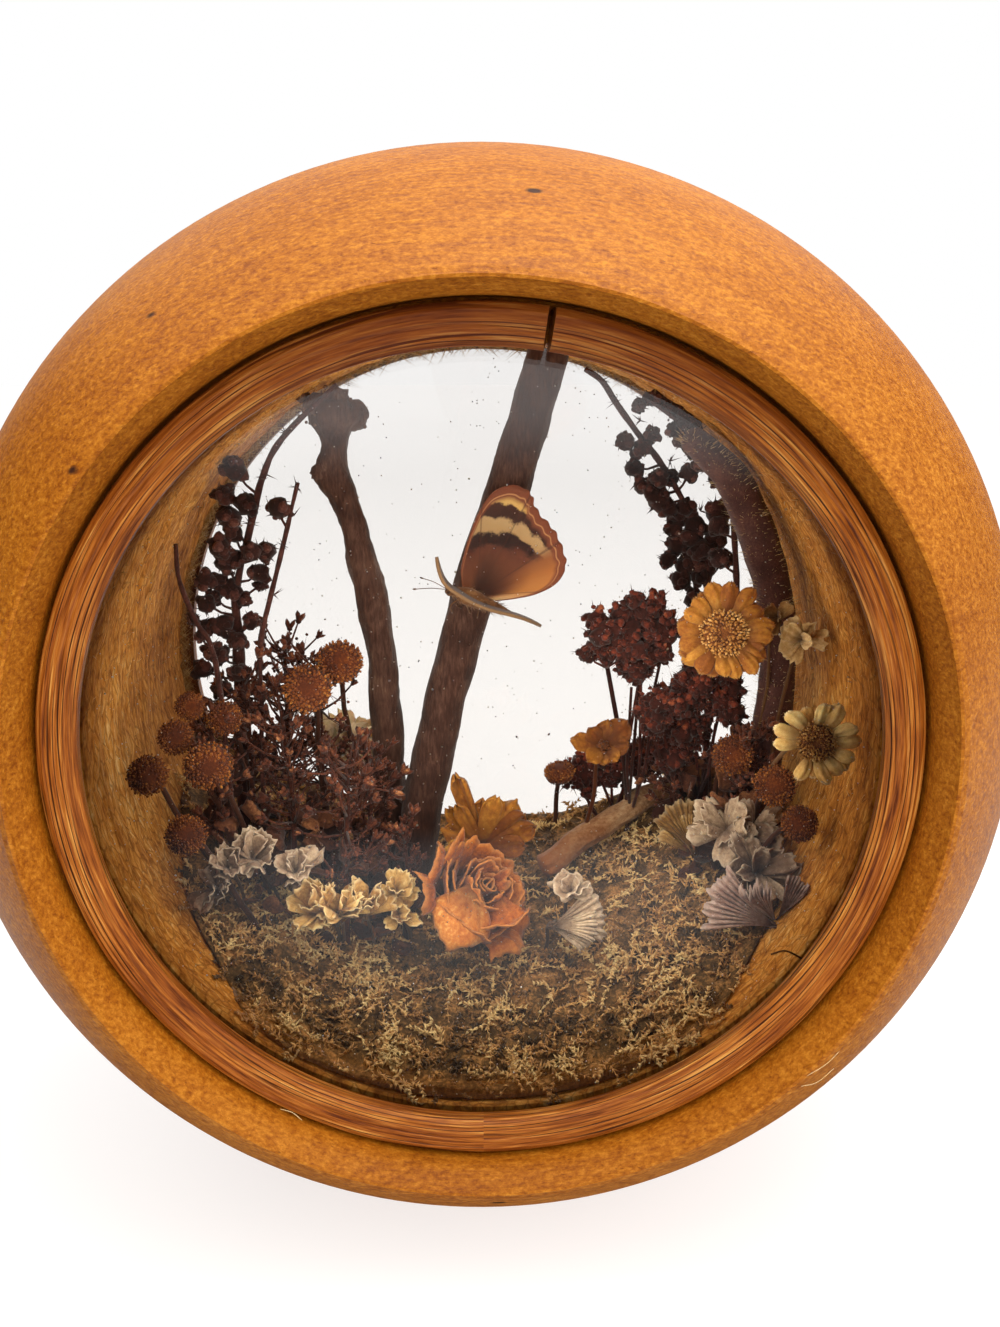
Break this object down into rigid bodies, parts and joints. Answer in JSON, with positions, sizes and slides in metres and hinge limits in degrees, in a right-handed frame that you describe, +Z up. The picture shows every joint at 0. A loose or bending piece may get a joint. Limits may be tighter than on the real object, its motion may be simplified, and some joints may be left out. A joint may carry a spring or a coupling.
{
  "type": "mounted butterfly in a glass-domed wooden case",
  "caption": "Butterfly mounted on a twig among dried flowers, moss and seed sprays, sealed between two domed glasses in a thick round turned-wood body.",
  "frame": {"origin": "middle of the flat base that the body stands on", "axes": "+Z up; the front glass faces -Y; the bored axis of the body runs along Y; +X is to the viewer's right"},
  "size_m": [0.179, 0.0914, 0.1753],
  "materials": {
    "honey_wood": "turned and waxed, honey brown",
    "clear_glass": "clear, domed, a little dusty",
    "rattan": "bent strip, satin",
    "moss": "dried moss, matte",
    "twig_bark": "dry bark, matte",
    "grey_bark": "grey bark, matte",
    "dark_seed": "dried seed heads, matte",
    "rust_flower": "dried florets, matte",
    "amber_petal": "dried petals, matte",
    "cream_petal": "papery dried petals, matte",
    "grey_petal": "papery dried petals, matte",
    "rose_petal": "dried rose petals, matte",
    "butterfly_scales": "scaled wings, matte"
  },
  "bodies": {
    "root": {"wood_body": "honey_wood", "front_glass_dome": "clear_glass", "back_glass_dome": "clear_glass", "front_rattan_ring": "rattan", "back_rattan_ring": "rattan", "moss_bed": "moss", "left_knobbed_twig": "twig_bark", "centre_twig": "twig_bark", "right_fuzzy_stem": "twig_bark", "dock_stem_1": "twig_bark", "dock_stem_2": "twig_bark", "dock_stem_3": "twig_bark", "right_low_branch": "grey_bark", "left_berry_spray": "dark_seed", "left_side_berry_stem": "dark_seed", "left_wall_twig": "dark_seed", "right_berry_spray": "dark_seed", "right_side_berry_stem": "dark_seed", "yarrow_1": "dark_seed", "yarrow_2": "dark_seed", "yarrow_3": "dark_seed", "left_button_1": "rust_flower", "left_button_2": "rust_flower", "left_button_3": "rust_flower", "left_button_4": "rust_flower", "left_button_5": "rust_flower", "left_button_6": "rust_flower", "left_button_7": "rust_flower", "left_button_8": "rust_flower", "right_button_1": "rust_flower", "right_button_2": "rust_flower", "right_button_3": "rust_flower", "right_button_4": "rust_flower", "amber_daisy": "amber_petal", "amber_flower": "amber_petal", "amber_bunch": "amber_petal", "cream_daisy": "cream_petal", "left_statice_3": "cream_petal", "left_statice_4": "cream_petal", "left_statice_5": "cream_petal", "left_statice_6": "cream_petal", "right_statice_1": "cream_petal", "right_statice_4": "cream_petal", "cream_petals": "cream_petal", "pale_back_flower": "cream_petal", "left_statice_1": "grey_petal", "left_statice_2": "grey_petal", "right_statice_2": "grey_petal", "right_statice_3": "grey_petal", "pale_wall_flower": "grey_petal", "rose": "rose_petal", "butterfly": "butterfly_scales"}
  },
  "joints": []
}
